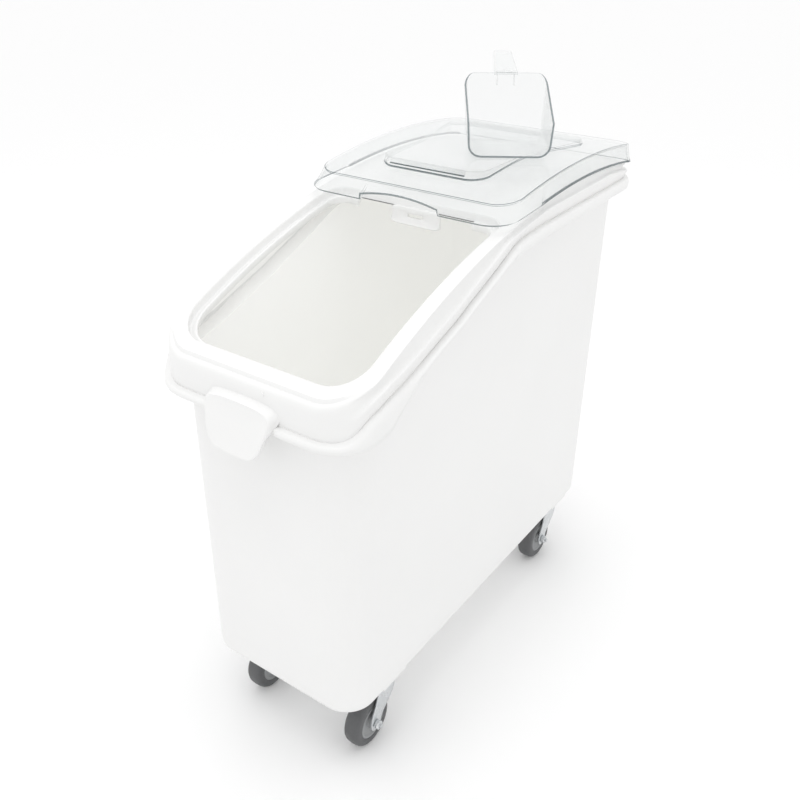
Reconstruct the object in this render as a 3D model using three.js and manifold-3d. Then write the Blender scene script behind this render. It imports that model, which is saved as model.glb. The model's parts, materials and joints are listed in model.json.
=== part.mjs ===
import * as THREE from 'three';
import { mergeVertices } from 'three/addons/utils/BufferGeometryUtils.js';
import Module from 'manifold-3d';

// Slant-top ingredient bin on four swivel casters, with a lift-off top frame,
// a clear lid that slides on the curved rails and a clear scoop. Millimetres, +Z up, front -Y.

const wasm = await Module();
wasm.setup();

// Rim of the tub, seen from above
const RIM_HALF_WIDTH = 163;
const RIM_FRONT = -371;
const RIM_REAR = 371;
const RIM_CORNER = 67;

// Tub body
const WALL = 3.5;
const TUB_BOTTOM = 114;
const TUB_FLOOR = 4;
const TUB_TOP_INSET = 23;
const TUB_DRAFT = 11;
const TUB_BOTTOM_CORNER = 44;
const PAD_HEIGHT = 8;
const BOTTOM_FRONT = -331;
const BOTTOM_REAR = 334;
const BOTTOM_ROUND = 14;
const PAD_HALF = [32, 27];

// The rails, the lid and its travel share one far axis below the floor
const RAIL_AXIS_Y = 160;
const RAIL_AXIS_Z = -378;
const RAIL_RADIUS = 1100;
const LIP_RADIUS = 1090;

// Parting line between the tub's bead and the top frame, as heights along Y
const PART_FRONT = 548;
const PART_SLOPE_START = -322;
const PART_SLOPE_LOW = 577;
const PART_BEND = -20;
const PART_BEND_HIGH = 683;
const PART_REAR = 688;
const PART_GAP = 0.6;

// Bead under the parting line
const BEAD_FRONT = 537;
const BEAD_TOP_Z = 671;
const BEAD_TOP_Y = 55;
const BEAD_ARC = 570;
const BEAD_ARC_END = -296;
const BEAD_MIN_HEIGHT = 11;
const BEAD_GAP_HALF = 59;

// Top frame
const FRAME_INSET = 9;
const FRAME_WALL = 3.5;
const FLANGE_INSET = 4.5;
const FLANGE_HEIGHT = 21;
const FLANGE_FRONT = -336;
const OPENING_HALF = 127;
const OPENING_FRONT = -329;
const OPENING_REAR = -25;
const OPENING_CORNER = 42;
const OPENING_REAR_CORNER = 22;
const LIP_STEP = 9;
const LIP_WALL = 3;
const LIP_SKIRT = 9;
const RECESS_HALF = 90;
const RECESS_Y = -19;
const RECESS_WALL = 3;
const TAB_HALF = 39;
const TAB_TOP = 697;
const TAB_DROP = 19;
const SLOT_HALF = 13;
const SLOT_LOW = 684.5;
const SLOT_HIGH = 690;

// Thumb tongue at the front
const TONGUE_TOP_HALF = 55;
const TONGUE_BOTTOM_HALF = 34;
const TONGUE_TOP = 566;
const TONGUE_BOTTOM = 507;
const TONGUE_FRONT = -387;
const TONGUE_THICK = 5;
const TONGUE_ROUND = 16;

// Clear lid
const LID_HALF = 159.5;
const LID_FRONT = -62;
const LID_REAR = 354;
const LID_CORNER = 34;
const LID_TOP_RADIUS = 1130;
const LID_SKIRT_RADIUS = 1104;
const LID_SIDE_RADIUS = 1098;
const LID_THICK = 2.8;
const LID_FRONT_SKIRT = 713;
const LID_WRAP_Y = 30;
const LID_WRAP_SKIRT = 718.5;
const FINGER_HALF = 62;
const FINGER_RISE = 7;
const FINGER_CROWN = 23;
const ISLAND_FRONT = 8;
const ISLAND_REAR = 262;
const ISLAND_FRONT_HALF = 81.5;
const ISLAND_REAR_HALF = 110;
const ISLAND_CORNER = 26;
const ISLAND_TOP = 755;

// Clear scoop, in its own frame: lip at the origin, bowl running back along +Y
const SCOOP_HALF = 55;
const SCOOP_LENGTH = 116;
const SCOOP_BACK = 92;
const SCOOP_SIDE = 49;
const SCOOP_THICK = 2.4;
const SCOOP_HEEL = 34;
const SCOOP_CORNER = 16;
const HANDLE_LENGTH = 98;
const HANDLE_RISE = 17;
const HANDLE_HALF = 16;
const HANDLE_END_HALF = 13;
const SCOOP_TURN = THREE.MathUtils.degToRad(33);
const SCOOP_PLACE = [76, 92, ISLAND_TOP + 0.4];

// Swivel casters
const CASTER_X = 90;
const CASTER_YS = { front: -232, rear: 268 };
const TRAIL = 25;
const WHEEL_RADIUS = 38;
const TREAD_HALF = 12.5;
const HUB_HALF = 14;
const FORK_SPAN = 15;
const FORK_SHEET = 2.6;
const FORK_TOP = 90;
const PLATE_TOP = TUB_BOTTOM - PAD_HEIGHT - 0.4;
const PLATE_SHEET = 2.6;
const PLATE_SPACING = [44, 34];

const white = new THREE.MeshStandardMaterial({ color: 0xf1f1ee, roughness: 0.45, metalness: 0 });
const clear = new THREE.MeshStandardMaterial({ color: 0xe4eaec, roughness: 0.08, metalness: 0 });
const zinc = new THREE.MeshStandardMaterial({ color: 0xc6c9cb, roughness: 0.32, metalness: 1 });
const rubber = new THREE.MeshStandardMaterial({ color: 0x6b6e71, roughness: 0.65, metalness: 0 });
const hubGrey = new THREE.MeshStandardMaterial({ color: 0x9a9da0, roughness: 0.5, metalness: 0 });

const bin = new THREE.Group();

function solidOf(geometry) {
  const plain = geometry.index ? geometry.toNonIndexed() : geometry.clone();
  plain.deleteAttribute('normal');
  plain.deleteAttribute('uv');
  const merged = mergeVertices(plain, 1e-4);
  const vertProperties = new Float32Array(merged.attributes.position.array);
  const triVerts = new Uint32Array(merged.index.array);
  return new wasm.Manifold(new wasm.Mesh({ numProp: 3, vertProperties, triVerts }));
}

function geometryOf(solid) {
  const mesh = solid.getMesh();
  const geometry = new THREE.BufferGeometry();
  geometry.setAttribute('position', new THREE.BufferAttribute(mesh.vertProperties, 3));
  geometry.setIndex(new THREE.BufferAttribute(mesh.triVerts, 1));
  geometry.computeVertexNormals();
  return geometry;
}

function addPiece(name, geometry, material, parent = bin) {
  const mesh = new THREE.Mesh(geometry, material);
  mesh.name = name;
  parent.add(mesh);
  return mesh;
}

// Rectangle with round corners in the XY plane
function roundedOutline(halfX, front, rear, corner, back = corner) {
  const shape = new THREE.Shape();
  shape.moveTo(-halfX + corner, front);
  shape.lineTo(halfX - corner, front);
  shape.absarc(halfX - corner, front + corner, corner, -Math.PI / 2, 0);
  shape.lineTo(halfX, rear - back);
  shape.absarc(halfX - back, rear - back, back, 0, Math.PI / 2);
  shape.lineTo(-halfX + back, rear);
  shape.absarc(-halfX + back, rear - back, back, Math.PI / 2, Math.PI);
  shape.lineTo(-halfX, front + corner);
  shape.absarc(-halfX + corner, front + corner, corner, Math.PI, Math.PI * 1.5);
  return shape;
}

function extruded(shape, low, high, curveSegments = 6) {
  const options = { depth: high - low, bevelEnabled: false, curveSegments };
  return new THREE.ExtrudeGeometry(shape, options).translate(0, 0, low);
}

function upright(halfX, front, rear, corner, low, high) {
  return solidOf(extruded(roundedOutline(halfX, front, rear, corner), low, high));
}

function box(halfX, y0, y1, z0, z1, centerX = 0) {
  const geometry = new THREE.BoxGeometry(halfX * 2, y1 - y0, z1 - z0);
  return solidOf(geometry.translate(centerX, (y0 + y1) / 2, (z0 + z1) / 2));
}

// Side view (Y, Z) carried across the whole width along X
function across(shape, halfX, curveSegments = 24, centerX = 0) {
  const options = { depth: halfX * 2, bevelEnabled: false, curveSegments };
  const geometry = new THREE.ExtrudeGeometry(shape, options);
  const turn = new THREE.Matrix4().makeBasis(
    new THREE.Vector3(0, 1, 0), new THREE.Vector3(0, 0, 1), new THREE.Vector3(1, 0, 0));
  geometry.applyMatrix4(turn);
  return solidOf(geometry.translate(centerX - halfX, 0, 0));
}

// Front view (X, Z) carried back along Y
function facing(shape, front, rear, curveSegments = 6) {
  const options = { depth: rear - front, bevelEnabled: false, curveSegments };
  const geometry = new THREE.ExtrudeGeometry(shape, options);
  return solidOf(geometry.rotateX(Math.PI / 2).translate(0, rear, 0));
}

// Everything under the cylinder of one radius about the rail axis
function underArc(radius, halfX = 200) {
  const reach = Math.asin(560 / radius);
  const shape = new THREE.Shape();
  shape.moveTo(RAIL_AXIS_Y - 560, 0);
  shape.lineTo(RAIL_AXIS_Y + 560, 0);
  shape.absarc(RAIL_AXIS_Y, RAIL_AXIS_Z, radius, Math.PI / 2 - reach, Math.PI / 2 + reach);
  return across(shape, halfX, 20);
}

function partingLine(shift) {
  return [
    [-420, PART_FRONT + shift],
    [RIM_FRONT + 22, PART_FRONT + shift],
    [RIM_FRONT + 38, PART_FRONT + 12 + shift],
    [PART_SLOPE_START, PART_SLOPE_LOW + shift],
    [PART_SLOPE_START + 75, 598 + shift],
    [PART_SLOPE_START + 160, 628 + shift],
    [PART_BEND - 55, 661 + shift],
    [PART_BEND, PART_BEND_HIGH + shift],
    [PART_BEND + 22, PART_REAR - 2 + shift],
    [420, PART_REAR + shift],
  ].map(([y, z]) => new THREE.Vector2(y, z));
}

function overLine(points, ceiling = 900) {
  const shape = new THREE.Shape(points);
  shape.lineTo(points.at(-1).x, ceiling);
  shape.lineTo(points[0].x, ceiling);
  return across(shape, 200);
}

// The bead's lower edge: level at the front, then one long arc up to the level rear
function beadLow() {
  const drop = (y) => BEAD_ARC - Math.sqrt(BEAD_ARC ** 2 - (y - BEAD_TOP_Y) ** 2);
  const points = [
    new THREE.Vector2(-420, BEAD_FRONT),
    new THREE.Vector2(RIM_FRONT + 34, BEAD_FRONT),
  ];
  const steps = 8;
  for (let i = 0; i <= steps; i += 1) {
    const y = THREE.MathUtils.lerp(BEAD_ARC_END, BEAD_TOP_Y, i / steps);
    points.push(new THREE.Vector2(y, BEAD_TOP_Z - drop(y)));
  }
  points.push(new THREE.Vector2(420, BEAD_TOP_Z));
  return points;
}

// Tub section at one level, its half width and ends growing with the draft
function tubBody(inset, low, high) {
  const corner = RIM_CORNER - TUB_TOP_INSET * 0.5 - inset;
  const halfX = RIM_HALF_WIDTH - TUB_TOP_INSET - inset;
  const front = RIM_FRONT + TUB_TOP_INSET + inset;
  const rear = RIM_REAR - TUB_TOP_INSET - inset;
  const geometry = extruded(roundedOutline(halfX, front, rear, corner), low, high);
  const place = geometry.attributes.position;
  const topLevel = PART_REAR;
  for (let i = 0; i < place.count; i += 1) {
    const narrow = TUB_DRAFT * (topLevel - place.getZ(i)) / (topLevel - TUB_BOTTOM);
    place.setX(i, place.getX(i) * (1 - narrow / halfX));
    place.setY(i, place.getY(i) * (1 - narrow * 2.4 / (rear - front)));
  }
  return solidOf(geometry);
}

// Slightly wider block with a round lower edge, cut against the tub to round its bottom
function bottomRound() {
  const radius = BOTTOM_ROUND;
  const halfX = RIM_HALF_WIDTH - TUB_TOP_INSET - TUB_DRAFT + 2 - radius;
  const corner = TUB_BOTTOM_CORNER - radius;
  const shape = roundedOutline(halfX, BOTTOM_FRONT + radius, BOTTOM_REAR - radius, corner);
  const options = {
    depth: 800,
    bevelEnabled: true,
    bevelThickness: radius,
    bevelSize: radius + 12,
    bevelSegments: 3,
    curveSegments: 6,
  };
  const geometry = new THREE.ExtrudeGeometry(shape, options).translate(0, 0, TUB_BOTTOM + radius);
  return solidOf(geometry);
}

// Outline of the rim carried up, less a margin all round
function rimBlock(inset, low, high) {
  const halfX = RIM_HALF_WIDTH - inset;
  return upright(halfX, RIM_FRONT + inset, RIM_REAR - inset, RIM_CORNER - inset, low, high);
}

function makeTub() {
  const belowPart = overLine(partingLine(0)).subtract(overLine(partingLine(400)));
  const whole = tubBody(0, TUB_BOTTOM, 700).subtract(belowPart);
  const inside = tubBody(WALL, TUB_BOTTOM + TUB_FLOOR, 760);
  const beadTop = rimBlock(0, 500, 700).subtract(belowPart);
  const beadFloor = overLine(beadLow()).intersect(beadTop);
  const thinBand = overLine(partingLine(-BEAD_MIN_HEIGHT)).intersect(beadTop);
  const hollow = rimBlock(WALL, 490, 700)
    .subtract(tubBody(0, 480, 710))
    .subtract(overLine(partingLine(-WALL)));
  const bead = beadFloor.add(thinBand)
    .subtract(hollow)
    .subtract(box(BEAD_GAP_HALF, RIM_FRONT - 5, RIM_FRONT + TUB_TOP_INSET - 2, 490, 700));
  let tub = whole.intersect(bottomRound()).add(bead).subtract(inside);
  const [padX, padY] = PAD_HALF;
  for (const [x, y] of casterPlaces()) {
    tub = tub.add(box(padX, y - padY, y + padY, TUB_BOTTOM - PAD_HEIGHT, TUB_BOTTOM + 1.5, x));
  }
  addPiece('bin_tub', geometryOf(tub), white);
}

function casterPlaces() {
  const ys = Object.values(CASTER_YS);
  return ys.flatMap((y) => [[-CASTER_X, y], [CASTER_X, y]]);
}

// Outline of the tongue seen from the front (X, Z)
function tongueShape() {
  const shape = new THREE.Shape();
  const top = TONGUE_TOP_HALF;
  const low = TONGUE_BOTTOM_HALF;
  const shoulder = TONGUE_TOP - TONGUE_ROUND;
  const foot = TONGUE_BOTTOM + 12;
  shape.moveTo(-top, shoulder);
  shape.quadraticCurveTo(-top, TONGUE_TOP, -top + TONGUE_ROUND, TONGUE_TOP);
  shape.lineTo(top - TONGUE_ROUND, TONGUE_TOP);
  shape.quadraticCurveTo(top, TONGUE_TOP, top, shoulder);
  shape.lineTo(low + 7, foot);
  shape.quadraticCurveTo(low + 2, TONGUE_BOTTOM, low - 8, TONGUE_BOTTOM);
  shape.lineTo(-low + 8, TONGUE_BOTTOM);
  shape.quadraticCurveTo(-low - 2, TONGUE_BOTTOM, -low - 7, foot);
  return shape;
}

// Thumb tongue: leans out from the front wall over the gap in the bead
function makeTongue() {
  const side = new THREE.Shape([
    new THREE.Vector2(RIM_FRONT + FRAME_INSET + 1, TONGUE_TOP + 5),
    new THREE.Vector2(TONGUE_FRONT + 15, TONGUE_TOP - 6),
    new THREE.Vector2(TONGUE_FRONT + 11, TONGUE_TOP - 18),
    new THREE.Vector2(TONGUE_FRONT, TONGUE_BOTTOM - 2),
    new THREE.Vector2(TONGUE_FRONT + TONGUE_THICK, TONGUE_BOTTOM - 2),
    new THREE.Vector2(TONGUE_FRONT + 11 + TONGUE_THICK, TONGUE_TOP - 21),
    new THREE.Vector2(RIM_FRONT + FRAME_INSET + 1, TONGUE_TOP - 16),
  ]);
  return facing(tongueShape(), TONGUE_FRONT - 10, RIM_FRONT + 30, 5).intersect(across(side, 80));
}

function mouthPrism(grow) {
  const corner = OPENING_CORNER + grow * 0.6;
  const back = OPENING_REAR_CORNER + grow * 0.6;
  const halfX = OPENING_HALF + grow;
  const outline = roundedOutline(halfX, OPENING_FRONT - grow, OPENING_REAR + grow, corner, back);
  return solidOf(extruded(outline, 300, 900));
}

// Hollow under the frame: it leaves the lip round the mouth and a short skirt below it
function frameHollow() {
  const inset = FRAME_INSET + FRAME_WALL;
  const halfX = RIM_HALF_WIDTH - inset - 2;
  const cavity = upright(halfX, RIM_FRONT + inset, RIM_REAR - inset - 6, RIM_CORNER - inset, 400, 900)
    .intersect(underArc(RAIL_RADIUS - FRAME_WALL));
  const lip = mouthPrism(LIP_STEP + LIP_WALL).subtract(underArc(LIP_RADIUS - LIP_WALL));
  const skirt = mouthPrism(LIP_WALL).subtract(underArc(LIP_RADIUS - LIP_SKIRT));
  return cavity.subtract(lip).subtract(skirt);
}

function makeFrameShell() {
  const inset = FRAME_INSET;
  const halfX = RIM_HALF_WIDTH - inset;
  const front = RIM_FRONT + inset;
  const outer = upright(halfX, front, RIM_REAR - inset - 4, RIM_CORNER - inset, 500, 800);
  const flangeX = RIM_HALF_WIDTH - FLANGE_INSET;
  const flangeCorner = RIM_CORNER - FLANGE_INSET;
  const flange = upright(flangeX, front + 0.5, RIM_REAR - FLANGE_INSET, flangeCorner, 500, 800)
    .intersect(box(200, FLANGE_FRONT, 400, 400, 900))
    .subtract(overLine(partingLine(FLANGE_HEIGHT)))
    .intersect(underArc(LIP_RADIUS));
  const step = mouthPrism(LIP_STEP).subtract(underArc(LIP_RADIUS));
  return outer.intersect(underArc(RAIL_RADIUS)).add(flange)
    .subtract(step)
    .subtract(frameHollow())
    .subtract(mouthPrism(0));
}

// Shallow channel down each side between the rail's sharp edge and the flange
function channelCut(side) {
  return underArc(RAIL_RADIUS - 5)
    .intersect(overLine(partingLine(FLANGE_HEIGHT + 1)))
    .intersect(box(8, FLANGE_FRONT + 2, 380, 400, 900, side * (RIM_HALF_WIDTH - FRAME_INSET + 6)));
}

// Wall set back along the front of the deck, with the slotted tab hanging from it
function deckWall() {
  const rear = RECESS_Y + RECESS_WALL;
  const wall = box(RECESS_HALF + 1.5, RECESS_Y, rear, TAB_TOP - 2, TAB_TOP + 20)
    .intersect(underArc(RAIL_RADIUS - 0.2));
  const low = TAB_TOP - TAB_DROP;
  const tab = box(TAB_HALF, RECESS_Y, rear + 1, low, TAB_TOP)
    .add(box(TAB_HALF - 0.5, RECESS_Y - 2, rear + 1.5, low - 5, low + 0.5));
  return wall.add(tab);
}

function makeFrame() {
  let frame = makeFrameShell();
  frame = frame.subtract(channelCut(1)).subtract(channelCut(-1));
  const recess = box(RECESS_HALF, OPENING_REAR - 5, RECESS_Y, 650, 760);
  const slot = box(SLOT_HALF, RECESS_Y - 5, RECESS_Y + 15, SLOT_LOW, SLOT_HIGH);
  frame = frame.intersect(overLine(partingLine(PART_GAP))).subtract(recess).add(deckWall());
  frame = frame.subtract(slot).add(makeTongue());
  addPiece('top_frame', geometryOf(frame), white);
}

function islandOutline(inset) {
  const front = ISLAND_FRONT + inset;
  const rear = ISLAND_REAR - inset;
  const nose = ISLAND_FRONT_HALF - inset;
  const tail = ISLAND_REAR_HALF - inset;
  const bend = ISLAND_CORNER;
  const flare = front + 118;
  const shape = new THREE.Shape();
  shape.moveTo(-nose + bend, front);
  shape.lineTo(nose - bend, front);
  shape.quadraticCurveTo(nose, front, nose, front + bend);
  shape.lineTo(nose, flare);
  shape.bezierCurveTo(nose, flare + 55, tail, rear - 70, tail, rear - 20);
  shape.quadraticCurveTo(tail, rear, tail - 20, rear);
  shape.lineTo(-tail + 20, rear);
  shape.quadraticCurveTo(-tail, rear, -tail, rear - 20);
  shape.bezierCurveTo(-tail, rear - 70, -nose, flare + 55, -nose, flare);
  shape.lineTo(-nose, front + bend);
  shape.quadraticCurveTo(-nose, front, -nose + bend, front);
  return shape;
}

function makeLid() {
  const inset = LID_THICK;
  const block = (margin) => upright(
    LID_HALF - margin, LID_FRONT + margin, LID_REAR - margin, LID_CORNER - margin, 600, 800);
  const outer = block(0);
  const inner = block(inset);
  const island = solidOf(extruded(islandOutline(0), 700, ISLAND_TOP, 8))
    .subtract(underArc(LID_TOP_RADIUS - 1));
  const islandHollow = solidOf(extruded(islandOutline(inset), 690, ISLAND_TOP - inset, 8));
  const acrossRail = RIM_HALF_WIDTH - FRAME_INSET + 2.2;
  const skirtCut = underArc(LID_SKIRT_RADIUS, acrossRail).add(frontSkirtCut());
  let lid = outer.intersect(underArc(LID_TOP_RADIUS)).subtract(underArc(LID_SIDE_RADIUS))
    .subtract(inner.intersect(underArc(LID_TOP_RADIUS - inset)))
    .subtract(skirtCut)
    .add(island)
    .subtract(islandHollow);
  lid = lid.subtract(facing(fingerOutline(), LID_FRONT - 10, LID_FRONT + 10, 8));
  addPiece('sliding_lid', geometryOf(lid), clear);
}

// Room under the front skirt, which ends higher than the side skirts
function frontSkirtCut() {
  const low = LID_FRONT_SKIRT - 60;
  return across(new THREE.Shape([
    new THREE.Vector2(LID_FRONT - 20, low),
    new THREE.Vector2(LID_WRAP_Y, low),
    new THREE.Vector2(LID_WRAP_Y, LID_WRAP_SKIRT),
    new THREE.Vector2(LID_FRONT - 20, LID_FRONT_SKIRT),
  ]), 180);
}

// Arched finger cut-out in the middle of the lid's front skirt
function fingerOutline() {
  const low = LID_FRONT_SKIRT - 15;
  const spring = LID_FRONT_SKIRT + FINGER_RISE;
  const shape = new THREE.Shape();
  shape.moveTo(-FINGER_HALF, low);
  shape.lineTo(FINGER_HALF, low);
  shape.lineTo(FINGER_HALF, spring);
  shape.quadraticCurveTo(0, LID_FRONT_SKIRT + FINGER_CROWN, -FINGER_HALF, spring);
  return shape;
}

// Side view of the scoop's bowl: floor, round heel, upright back, rim falling to the lip
function scoopSide(inset) {
  const heel = SCOOP_HEEL - inset;
  const back = SCOOP_LENGTH - inset;
  const shape = new THREE.Shape();
  shape.moveTo(inset ? -10 : 0, inset);
  shape.lineTo(back - heel, inset);
  shape.absarc(back - heel, inset + heel, heel, -Math.PI / 2, 0);
  shape.lineTo(back + 6, SCOOP_BACK + (inset ? 20 : 0));
  if (inset) {
    shape.lineTo(-10, SCOOP_BACK + 20);
  } else {
    shape.lineTo(5, SCOOP_SIDE);
  }
  return shape;
}

// Front view of the bowl: round lower corners and sides that lean out
function scoopFace(inset) {
  const half = SCOOP_HALF - inset;
  const corner = SCOOP_CORNER - inset;
  const lean = 5;
  const top = SCOOP_BACK + 30;
  const shape = new THREE.Shape();
  shape.moveTo(-half + corner, inset);
  shape.lineTo(half - corner, inset);
  shape.absarc(half - corner, inset + corner, corner, -Math.PI / 2, 0);
  shape.lineTo(half + lean, top);
  shape.lineTo(-half - lean, top);
  shape.lineTo(-half, inset + corner);
  shape.absarc(-half + corner, inset + corner, corner, Math.PI, Math.PI * 1.5);
  return shape;
}

function scoopHandle() {
  const root = SCOOP_LENGTH;
  const tip = SCOOP_LENGTH + HANDLE_LENGTH;
  const side = new THREE.Shape([
    new THREE.Vector2(root + 1, SCOOP_BACK - 5),
    new THREE.Vector2(tip - 2, SCOOP_BACK + HANDLE_RISE - 5),
    new THREE.Vector2(tip, SCOOP_BACK + HANDLE_RISE - 2),
    new THREE.Vector2(tip - 2, SCOOP_BACK + HANDLE_RISE),
    new THREE.Vector2(root + 1, SCOOP_BACK),
  ]);
  const hole = new THREE.CylinderGeometry(5, 5, 60, 16).rotateX(Math.PI / 2);
  hole.translate(0, tip - 14, SCOOP_BACK);
  const plan = new THREE.Shape([
    new THREE.Vector2(-HANDLE_HALF, root - 2),
    new THREE.Vector2(HANDLE_HALF, root - 2),
    new THREE.Vector2(HANDLE_END_HALF, tip - 8),
    new THREE.Vector2(HANDLE_END_HALF - 6, tip),
    new THREE.Vector2(6 - HANDLE_END_HALF, tip),
    new THREE.Vector2(-HANDLE_END_HALF, tip - 8),
  ]);
  return across(side, 20).intersect(solidOf(extruded(plan, 0, 160))).subtract(solidOf(hole));
}

function makeScoop() {
  const shell = (inset) => across(scoopSide(inset), 80, 6)
    .intersect(facing(scoopFace(inset), -20, 140, 5));
  const scoop = shell(0).subtract(shell(SCOOP_THICK)).add(scoopHandle());
  const stand = new THREE.Group();
  stand.position.set(...SCOOP_PLACE);
  stand.rotation.z = SCOOP_TURN;
  bin.add(stand);
  addPiece('scoop', geometryOf(scoop), clear, stand);
}

function turned(profile, segments) {
  const points = profile.map(([radius, height]) => new THREE.Vector2(radius, height));
  return new THREE.LatheGeometry(points, segments).rotateX(Math.PI / 2);
}

function cylinder(radius, low, high, segments = 24, top = radius) {
  const geometry = new THREE.CylinderGeometry(top, radius, high - low, segments).rotateX(Math.PI / 2);
  return geometry.translate(0, 0, (low + high) / 2);
}

function alongX(geometry) {
  return geometry.rotateY(Math.PI / 2);
}

// One leg of the fork, from the crown down and forward to the axle
function legShape() {
  const shape = new THREE.Shape();
  shape.moveTo(19, FORK_TOP - 1);
  shape.lineTo(19, FORK_TOP - 9);
  shape.quadraticCurveTo(10, WHEEL_RADIUS + 20, -TRAIL + 10, WHEEL_RADIUS - 5);
  shape.absarc(-TRAIL, WHEEL_RADIUS, 11, -0.5, -Math.PI - 0.3, true);
  shape.quadraticCurveTo(-TRAIL - 4, FORK_TOP - 22, -19, FORK_TOP - 1);
  return shape;
}

function makeFork() {
  const crown = solidOf(cylinder(21, FORK_TOP - FORK_SHEET, FORK_TOP, 20));
  const arm = box(FORK_SPAN + FORK_SHEET, -19, 19, FORK_TOP - FORK_SHEET, FORK_TOP - 0.2);
  const legX = FORK_SPAN + FORK_SHEET / 2;
  const legs = [-legX, legX].map((x) => across(legShape(), FORK_SHEET / 2, 5, x));
  const axleHole = alongX(cylinder(3.6, -40, 40, 12)).translate(0, -TRAIL, WHEEL_RADIUS);
  const pinHole = cylinder(4.8, FORK_TOP - 10, FORK_TOP + 10, 12);
  return crown.add(arm).add(legs[0]).add(legs[1])
    .subtract(solidOf(axleHole))
    .subtract(solidOf(pinHole));
}

function makePlate() {
  const [dx, dy] = PLATE_SPACING;
  const outline = roundedOutline(dx / 2 + 7, -dy / 2 - 7, dy / 2 + 7, 6);
  let plate = solidOf(extruded(outline, PLATE_TOP - PLATE_SHEET, PLATE_TOP, 3));
  for (const [x, y] of screwPlaces()) {
    plate = plate.subtract(solidOf(cylinder(3, PLATE_TOP - 9, PLATE_TOP + 9, 8).translate(x, y, 0)));
  }
  return plate.subtract(solidOf(cylinder(4.8, PLATE_TOP - 9, PLATE_TOP + 9, 12)));
}

function screwPlaces() {
  const [dx, dy] = PLATE_SPACING;
  return [[-1, -1], [1, -1], [1, 1], [-1, 1]].map(([x, y]) => [x * dx / 2, y * dy / 2]);
}

// Ball race: a pressed dome between plate and crown
function makeRace() {
  const low = FORK_TOP + 0.4;
  const high = PLATE_TOP - PLATE_SHEET - 0.4;
  const bore = 4.7;
  return turned([[bore, low], [18, low], [20, high - 5], [16, high], [bore, high], [bore, low]], 20);
}

// Kingpin with a round head below the crown and a spun head above the plate
function makePin() {
  const head = FORK_TOP - FORK_SHEET - 0.4;
  const top = PLATE_TOP - 0.3;
  const shank = 4.2;
  return turned([[0, head - 4], [6, head - 4], [8, head], [shank, head], [shank, top], [0, top]], 12);
}

function makeTyre() {
  const bore = 25;
  const shoulder = WHEEL_RADIUS - 5;
  const profile = [
    [bore, -TREAD_HALF],
    [shoulder, -TREAD_HALF],
    [WHEEL_RADIUS, -5],
    [WHEEL_RADIUS, 5],
    [shoulder, TREAD_HALF],
    [bore, TREAD_HALF],
    [bore, -TREAD_HALF],
  ];
  return alongX(turned(profile, 24));
}

function makeHub() {
  const rim = 24.2;
  const bore = 3.5;
  const boss = 9;
  const profile = [
    [bore, -HUB_HALF],
    [boss, -HUB_HALF],
    [boss + 1, -9],
    [rim, -TREAD_HALF + 2],
    [rim, TREAD_HALF - 2],
    [boss + 1, 9],
    [boss, HUB_HALF],
    [bore, HUB_HALF],
    [bore, -HUB_HALF],
  ];
  return alongX(turned(profile, 16));
}

function makeAxle(side) {
  const flank = FORK_SPAN + FORK_SHEET + 0.4;
  const head = solidOf(cylinder(6.6, -flank - 5, -flank, 6));
  const shank = solidOf(cylinder(3.1, -flank - 1, flank + 7, 12));
  const bolt = head.add(shank);
  return alongX(geometryOf(bolt)).scale(side, 1, 1);
}

function makeNut() {
  const low = FORK_SPAN + FORK_SHEET + 0.4;
  const hex = solidOf(cylinder(7, low, low + 6, 6));
  return geometryOf(hex.subtract(solidOf(cylinder(3.6, low - 1, low + 7, 12))));
}

function makeScrew() {
  const seat = PLATE_TOP - PLATE_SHEET - 0.4;
  const head = 4.6;
  const shank = 2.2;
  const profile = [
    [0, seat - 3],
    [head, seat - 2.4],
    [head, seat],
    [shank, seat],
    [shank, PLATE_TOP],
    [0, PLATE_TOP],
  ];
  return turned(profile, 8);
}

// Swivelled pieces share one group; the wheel sits ahead of the kingpin
function makeCaster(corner, x, y) {
  const place = new THREE.Group();
  place.position.set(x, y, 0);
  bin.add(place);
  const name = (piece) => `${corner}_${piece}`;
  addPiece(name('caster_plate'), geometryOf(makePlate()), zinc, place);
  screwPlaces().forEach(([sx, sy], index) => {
    addPiece(name(`plate_screw_${index + 1}`), makeScrew(), zinc, place).position.set(sx, sy, 0);
  });
  addPiece(name('ball_race'), makeRace(), zinc, place);
  addPiece(name('kingpin'), makePin(), zinc, place);
  addPiece(name('fork'), geometryOf(makeFork()), zinc, place);
  const wheel = new THREE.Group();
  wheel.position.set(0, -TRAIL, WHEEL_RADIUS);
  place.add(wheel);
  addPiece(name('tyre'), makeTyre(), rubber, wheel);
  addPiece(name('wheel_hub'), makeHub(), hubGrey, wheel);
  addPiece(name('axle_bolt'), makeAxle(1), zinc, wheel);
  addPiece(name('axle_nut'), alongX(makeNut()), zinc, wheel);
}

makeTub();
makeFrame();
makeLid();
makeScoop();
for (const [end, y] of Object.entries(CASTER_YS)) {
  makeCaster(`${end}_left`, -CASTER_X, y);
  makeCaster(`${end}_right`, CASTER_X, y);
}

// Origin on the floor under the middle of the outline, which runs from tongue to rear bead
bin.position.y = -(TONGUE_FRONT + RIM_REAR) / 2;

export default bin;
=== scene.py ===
import json
import math
import bmesh
import bpy
from mathutils import Euler, Matrix, Vector


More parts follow.
